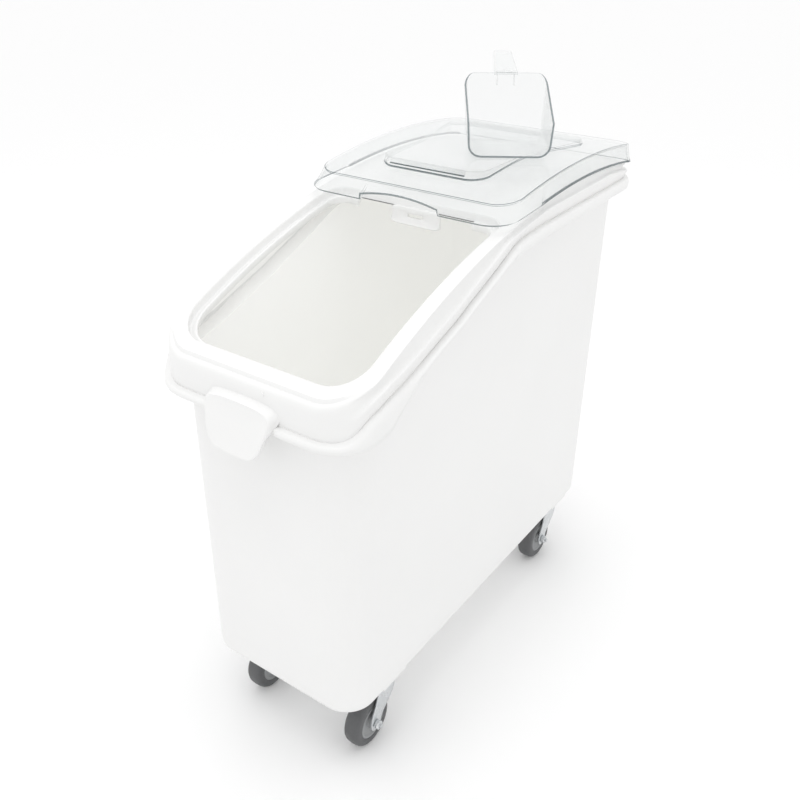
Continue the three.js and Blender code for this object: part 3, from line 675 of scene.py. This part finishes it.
def lidRings():
    rings = []
    for high, inward in lid["skirt"]:
        ring = []
        for s in lidStops:
            side, front = lid["lean"]["side"] * inward, lid["lean"]["front"] * inward
            if s[0] in ("right", "left") and lidAt(s, 0, 0)[1] > lid["wrapEnd"]:
                side += 1.2 * (1 - high)
            x, y = lidAt(s, side, front)
            foot = skirtFoot(s)
            z = mix(foot, arc(lid["top"], y) - 1.8, high)
            ring.append((x, y, z))
        rings.append(ring)
    for side, front, drop in [(5.8, 20.6, 0.9), (6.6, 21.7, 0.45), (9.4, 25, 0)]:
        ring = []
        for s in lidStops:
            x, y = lidAt(s, side, front)
            ring.append((x, y, arc(lid["top"], y) - drop))
        rings.append(ring)
    for step in range(1, 13):
        t = step / 12
        ring = []
        for s in lidStops:
            outer, inner = lidAt(s, 9.4, 25), islandPoint(s, 4)
            x, y = mix(outer[0], inner[0], t), mix(outer[1], inner[1], t)
            ring.append((x, y, arc(lid["top"], y)))
        rings.append(ring)
    for grow, share, drop in [(2.1, 0.07, 0), (1.2, 0.14, 0), (0.5, 0.35, 0), (0, 0.7, 0),
                              (-0.5, 0.9, 0), (-1.4, 0.98, 0), (-3, 1, 0)]:
        ring = []
        for s in lidStops:
            x, y = islandPoint(s, grow)
            ring.append((x, y, mix(arc(lid["top"], y), lid["islandTop"], share)))
        rings.append(ring)
    centreY = (island["front"] + island["rear"]) / 2
    for scale in (0.7, 0.4, 0.1):
        ring = []
        for s in lidStops:
            x, y = islandPoint(s, -3)
            ring.append((x * scale, centreY + (y - centreY) * scale, lid["islandTop"]))
        rings.append(ring)
    return rings


# painted shade: the bend at the panel's rolled edge and the foot of the island get the dark edge finish
paintedShadeRings = (len(lid["skirt"]) + 1, len(lid["skirt"]) + 16)
lidMesh = loftRings(lidRings(), highCap=True, paintedLightRings=paintedShadeRings)
for face in lidMesh.faces:
    # painted shade: faces near the foot of the side skirts get the dark edge finish, drawing the dark
    # line along the skirt's foot
    middle = face.calc_center_median()
    nearFoot = middle.z < arc(lid["sideSkirt"], middle.y) + 4
    if abs(middle.x) > 150 and middle.y > lid["wrapEnd"] and nearFoot:
        face.material_index = 1
lidPiece = finishPiece(lidMesh, "clear_lid", "lid", ["clear", "edge"], ["sliding_lid"],
                       sharp=38)


def giveWall(piece, thick):
    wall = piece.modifiers.new("wall", "SOLIDIFY")
    wall.thickness = thick / 1000
    wall.offset = -1
    # the sheet's cut edges take the dark edge finish: its tint seen through the thickness, with painted
    # shade
    wall.material_offset_rim = 1


giveWall(lidPiece, lid["thick"])

# thick pull ledge along the front of the island
ledge = {"half": 59, "y": 5.6, "z": 755, "high": 9, "line": 1.6}
ledgeMesh = bmesh.new()
roundedBlock(ledgeMesh, (0, ledge["y"] + 1.2, ledge["z"] - ledge["high"] / 2),
             (ledge["half"] * 2, 2, ledge["high"]), 0.8)
plain = set(ledgeMesh.faces)
# painted shade: a thin strip under the ledge gets the dark edge finish, as the dark line the ledge shows
roundedBlock(ledgeMesh, (0, ledge["y"] - 0.6, ledge["z"] - ledge["high"] + 1.2),
             (ledge["half"] * 2, 2.4, ledge["line"]), 0.7)
for face in ledgeMesh.faces:
    face.material_index = 0 if face in plain else 1
finishPiece(ledgeMesh, "lid_pull_ledge", "lid", ["clear", "edge"], sharp=45)
print("lid made")


# Scoop, which stands turned on the lid

scoop = {
    "half": 55, "length": 116, "back": 92, "side": 49, "corner": 17, "heel": 36, "lean": 5,
    "shoulder": 14, "backLean": 6,
    "thick": 2.6, "turn": 33, "place": (76, 92, 755.4),
}
scoopPlace = toRow @ Matrix.Translation(scoop["place"]) @ Matrix.Rotation(math.radians(scoop["turn"]),
        4, "Z")


def scoopRings():
    stops = roundStops([0, 15, 30], corner=14, side=16, rear=(0.85, 0.68, 0.5, 0.34, 0.17, 0))
    heights = [0, 0.6, 1.6, 3, 5, 7.5, 10.5, 14, 18, 22, 27, 32, 37, 44, 50, 56, 62, 68, 74, 80, 85, 90,
               95, 100]
    rings = []
    for z in heights:
        side = scoop["corner"] - math.sqrt(max(0, scoop["corner"] ** 2 - max(0,
                scoop["corner"] - z) ** 2))
        heel = scoop["heel"] - math.sqrt(max(0, scoop["heel"] ** 2 - max(0, scoop["heel"] - z) ** 2))
        up = z / scoop["back"]
        half = scoop["half"] + scoop["lean"] * up - side
        rear = scoop["length"] + scoop["backLean"] * up - heel
        rings.append([(*rimPoint(s, half, -60, rear, scoop["corner"] - 0.3 * side, held=30),
                       z) for s in stops])
    return rings


def shoulderDrop(x):
    # how far the rim falls away near the bowl's sides, so that its upper corners are round
    past = max(0, abs(x) - (scoop["half"] + scoop["lean"] - scoop["shoulder"])) / scoop["shoulder"]
    return scoop["shoulder"] * (1 - math.sqrt(1 - min(past, 0.98) ** 2))


bowl = loftRings(scoopRings(), lowCap=True)
for vert in bowl.verts:
    vert.co.z += shoulderDrop(vert.co.x) * ease(30, 60, vert.co.z)
sideTop = scoop["side"] + shoulderDrop(scoop["half"] + scoop["lean"] * 0.6)
lipNormal = Vector((0, sideTop - scoop["back"], scoop["length"] + scoop["backLean"] - 4)).normalized()
for point, normal in [((0, 0, 0), (0, -1, -0.09)), ((0, 4, sideTop), lipNormal)]:
    everything = list(bowl.verts) + list(bowl.edges) + list(bowl.faces)
    bmesh.ops.bisect_plane(bowl, geom=everything, dist=1e-4, plane_co=point, plane_no=normal,
                           clear_outer=True)
for vert in bowl.verts:
    vert.co.z -= shoulderDrop(vert.co.x) * ease(30, 60, vert.co.z)
bowlPiece = finishPiece(bowl, "scoop_bowl_clear", "scoop", ["clear", "edge"],
                        ["scoop"], sharp=60, place=scoopPlace)
giveWall(bowlPiece, scoop["thick"])

# handle: a flat strap with raised edges and two gussets under it
handleMesh = bmesh.new()
backTop = scoop["length"] + scoop["backLean"] - 1
strapEnds = [(backTop, 17, scoop["back"] - 3), (backTop + 30, 15.8, scoop["back"] + 2.4),
             (backTop + 60, 14.6, scoop["back"] + 7.6),
             (backTop + 88, 13.6, scoop["back"] + 12.6), (backTop + 93, 12.6, scoop["back"] + 13.4),
             (backTop + 95, 10, scoop["back"] + 13.8)]
strap = bmesh.ops.create_grid(handleMesh, x_segments=1, y_segments=len(strapEnds) - 1, size=1)["verts"]
strap.sort(key=lambda v: (round(v.co.y, 3), v.co.x))
for index, (y, half, z) in enumerate(strapEnds):
    strap[index * 2].co = (-half, y, z)
    strap[index * 2 + 1].co = (half, y, z)
body = bmesh.ops.extrude_face_region(handleMesh, geom=list(handleMesh.faces))
lifted = [g for g in body["geom"] if isinstance(g, bmesh.types.BMVert)]
bmesh.ops.translate(handleMesh, vec=(0, 0, 4), verts=lifted)
bmesh.ops.recalc_face_normals(handleMesh, faces=handleMesh.faces)
tops = [f for f in handleMesh.faces if f.normal.z > 0.8]
bmesh.ops.inset_region(handleMesh, faces=tops, thickness=2.2, depth=-1.8, use_boundary=True,
                       use_even_offset=True)
bmesh.ops.bevel(handleMesh, geom=[e for e in handleMesh.edges if e.calc_face_angle(0) > 0.9],
                offset=0.5, segments=2, affect="EDGES", profile=0.5, material=-1)
for side in (-1, 1):
    roundedBlock(handleMesh, (side * 12, backTop + 4, scoop["back"] - 10), (1.6, 9, 16), 0.4, 2)
finishPiece(handleMesh, "scoop_handle_clear", "scoop", ["clear"], sharp=35,
            place=scoopPlace)
print("scoop made")


# Casters; profiles are (radius, distance along the axle)

wheel = {
    "radius": 38, "trail": 25, "tyreSteps": 64, "hubSteps": 48,
    "tyre": [(25, -11), (25, -12), (27, -12.4), (31, -12.5), (33.5, -12.1), (35.6, -10.8), (37.1, -8.4),
             (37.8, -5),
             (38, 0), (37.8, 5), (37.1, 8.4), (35.6, 10.8), (33.5, 12.1), (31, 12.5), (27, 12.4),
             (25, 12), (25, 11)],
    "hub": [(3.6, -14.2), (8, -14.2), (9, -13.6), (9.6, -12), (10.4, -9.6), (12, -9), (18, -8.8),
            (20.6, -9.4),
            (21.8, -11.2), (22.6, -12), (24, -12.1), (24.9, -11.4), (24.9, 11.4), (24, 12.1),
            (22.6, 12), (21.8, 11.2),
            (20.6, 9.4), (18, 8.8), (12, 9), (10.4, 9.6), (9.6, 12), (9, 13.6), (8, 14.2), (3.6, 14.2)],
}


def spun(profile, steps, axis, centre):
    # profile is (radius, distance along the axis), closed on itself and spun round
    bm = bmesh.new()
    across = Vector((0, 0, 1)) if axis.x else Vector((1, 0, 0))
    dots = [bm.verts.new(centre + across * r + axis * d) for r, d in profile]
    for a, b in zip(dots, dots[1:] + dots[:1]):
        bm.edges.new((a, b))
    bmesh.ops.spin(bm, geom=list(bm.verts) + list(bm.edges), cent=centre, axis=axis, dvec=(0, 0, 0),
                   angle=2 * math.pi, steps=steps, use_merge=True)
    return bm


fork = {
    "span": 15, "sheet": 2.6, "top": 90, "bend": 5,
    "leg": [(85, -19, 19), (80, -19.6, 19), (74, -21.6, 17.6), (66, -25.6, 12), (58, -30.4, 3.4),
            (50, -34, -5.6),
            (44, -35.6, -11.6), (38, -36, -14), (33.5, -35, -15), (30, -32.6, -17.4), (28, -29.6, -20.4),
            (27.1, -26.6, -23.4)],
}


def forkSheet(spot):
    # crown and legs as one bent sheet: a strip across the top, bent down over each side
    bm = bmesh.new()
    outer = fork["span"] + fork["sheet"]
    path = [(x, fork["top"], -19, 19) for x in (0, 4, 8, outer - fork["bend"])]
    for step in (1, 2, 3):
        a = math.pi / 2 * step / 3
        path.append((outer - fork["bend"] * (1 - math.sin(a)),
                     fork["top"] - fork["bend"] * (1 - math.cos(a)), -19, 19))
    path += [(outer, z, y0, y1) for z, y0, y1 in fork["leg"]]
    path = [(-x, z, y0, y1) for x, z, y0, y1 in reversed(path[1:])] + path
    strips = 6
    made = bmesh.ops.create_grid(bm, x_segments=len(path) - 1, y_segments=strips, size=1)["verts"]
    made.sort(key=lambda v: (round(v.co.x, 4), v.co.y))
    for row, (x, z, y0, y1) in enumerate(path):
        for col in range(strips + 1):
            made[row * (strips + 1) + col].co = (spot[0] + x, spot[1] + mix(y0, y1, col / strips), z)
    return bm


def hexPiece(spot, start, length, flat, side, bore=0.0):
    bm = bmesh.new()
    turn = Matrix.Rotation(math.pi / 2 * side, 4, "Y")
    place = Matrix.Translation((spot[0] + side * (start + length / 2), spot[1] - wheel["trail"],
                                wheel["radius"]))
    made = bmesh.ops.create_cone(bm, cap_ends=not bore, segments=6, radius1=flat, radius2=flat,
                                 depth=length)["verts"]
    if bore:
        inner = bmesh.ops.create_cone(bm, cap_ends=False, segments=6, radius1=bore, radius2=bore,
                                      depth=length)["verts"]
        for high in (1, -1):
            ends = [e for e in bm.edges if all(v.co.z * high > 0 for v in e.verts)]
            bmesh.ops.bridge_loops(bm, edges=ends)
    sharp = [e for e in bm.edges if e.calc_face_angle(0) > 0.6]
    bmesh.ops.bevel(bm, geom=sharp, offset=0.7, segments=2, affect="EDGES", profile=0.5, material=-1)
    bmesh.ops.transform(bm, matrix=place @ turn, verts=bm.verts)
    return bm


for corner, spot in casterSpots.items():
    centre = Vector((spot[0], spot[1] - wheel["trail"], wheel["radius"]))
    sideways = Vector((1, 0, 0))
    finishPiece(spun(wheel["tyre"], wheel["tyreSteps"], sideways, centre), corner + "_rubber_tread",
                corner + "_wheel", ["tyre"], [corner + "_tyre"], sharp=40, merge=1e-4)
    finishPiece(spun(wheel["hub"], wheel["hubSteps"], sideways, centre), corner + "_hub_disc",
                corner + "_wheel", ["hub"], [corner + "_wheel_hub"], sharp=35, merge=1e-4)
    sheet = finishPiece(forkSheet(spot), corner + "_fork_sheet", corner + "_swivel", ["zinc"],
                        [corner + "_fork"], sharp=50)
    wall = sheet.modifiers.new("sheet", "SOLIDIFY")
    wall.thickness = fork["sheet"] / 1000
    wall.offset = -1
    soft = sheet.modifiers.new("soft", "BEVEL")
    soft.width = 0.0005
    soft.segments = 2
    soft.limit_method = "ANGLE"
    soft.angle_limit = math.radians(50)

    flank = fork["span"] + fork["sheet"]
    bolt = hexPiece(spot, flank + 0.3, 4.8, 6.6, -1)
    shank = bmesh.ops.create_cone(bolt, cap_ends=True, segments=24, radius1=3.1, radius2=3.1,
                                  depth=2 * flank + 12)["verts"]
    lay = Matrix.Translation(centre + Vector((3, 0, 0))) @ Matrix.Rotation(math.pi / 2, 4, "Y")
    bmesh.ops.transform(bolt, matrix=lay, verts=shank)
    finishPiece(bolt, corner + "_hex_bolt", corner + "_swivel", ["zinc"],
                [corner + "_axle_bolt"], sharp=30)
    nut = hexPiece(spot, flank + 0.3, 6, 7, 1, bore=3.4)
    finishPiece(nut, corner + "_hex_nut", corner + "_swivel", ["zinc"],
                [corner + "_axle_nut"], sharp=30)

    race = [(4.8, 90.4), (17.6, 90.4), (19.2, 91.2), (20, 92.8), (20, 95.4), (19.2, 98), (17.4, 101),
            (15.4, 102.4), (4.8, 102.6)]
    finishPiece(spun(race, 48, Vector((0, 0, 1)), Vector((spot[0], spot[1], 0))), corner + "_race_dome",
                "tub",
                ["zinc"], [corner + "_ball_race"], sharp=40, merge=1e-4)
    for kept in ("caster_plate", "kingpin", "plate_screw_1", "plate_screw_2", "plate_screw_3",
                 "plate_screw_4"):
        carried = nodes[f"{corner}_{kept}"]
        carried.data.materials.clear()
        carried.data.materials.append(finishes["zinc"])
print("casters made")


# Floor, lights and camera

studio = {"floor": 0.96, "world": 1.02, "top": 6, "key": 2, "front": 0.2, "inside": 1.5}

floorMesh = bmesh.new()
bmesh.ops.create_grid(floorMesh, x_segments=1, y_segments=1, size=14)
floorData = bpy.data.meshes.new("floor")
floorMesh.to_mesh(floorData)
floorMesh.free()
floorPiece = bpy.data.objects.new("floor", floorData)
bpy.context.scene.collection.objects.link(floorPiece)
floorData.materials.append(solidFinish("pale floor", (studio["floor"],) * 3, (studio["floor"],) * 3,
                                       (0.8, 0.9), bump=0.0))

sky = bpy.data.worlds.new("studio")
sky.use_nodes = True
sky.node_tree.nodes["Background"].inputs["Color"].default_value = (1, 1, 1, 1)
sky.node_tree.nodes["Background"].inputs["Strength"].default_value = studio["world"]
bpy.context.scene.world = sky


def softLight(name, place, aim, size, watts):
    lamp = bpy.data.lights.new(name, "AREA")
    lamp.shape = "RECTANGLE"
    lamp.size, lamp.size_y = size
    lamp.energy = watts
    holder = bpy.data.objects.new(name, lamp)
    holder.location = place
    holder.rotation_euler = (Vector(aim) - Vector(place)).to_track_quat("-Z", "Y").to_euler()
    bpy.context.scene.collection.objects.link(holder)


softLight("overhead", (0.1, 0.1, 2.6), (0, 0, 0.4), (1.6, 1.6), studio["top"])
softLight("key", (-1.7, -0.7, 2.1), (0, 0, 0.5), (0.9, 0.9), studio["key"])
softLight("front", (0.3, -1.5, 2.3), (0, -0.1, 0.5), (0.8, 0.8), studio["front"])
softLight("inside", (0.15, -0.75, 1.75), (0, 0.02, 0.4), (0.5, 0.5), studio["inside"])
bpy.context.scene.cycles.diffuse_bounces = 10  # white walls facing each other need them

view = {"place": (0.6552, -0.9941, 1.0776), "turn": (64.97, 0.06, 36.04), "lens": 41.5,
        "shift": (0.0266, -0.0929)}
lens = bpy.data.cameras.new("camera")
lens.lens = view["lens"]
lens.sensor_width = 36
lens.shift_x, lens.shift_y = view["shift"]
camera = bpy.data.objects.new("camera", lens)
camera.location = view["place"]
camera.rotation_euler = Euler([math.radians(a) for a in view["turn"]])
bpy.context.scene.collection.objects.link(camera)
bpy.context.scene.camera = camera
bpy.context.scene.view_settings.view_transform = "Standard"
print("studio set")
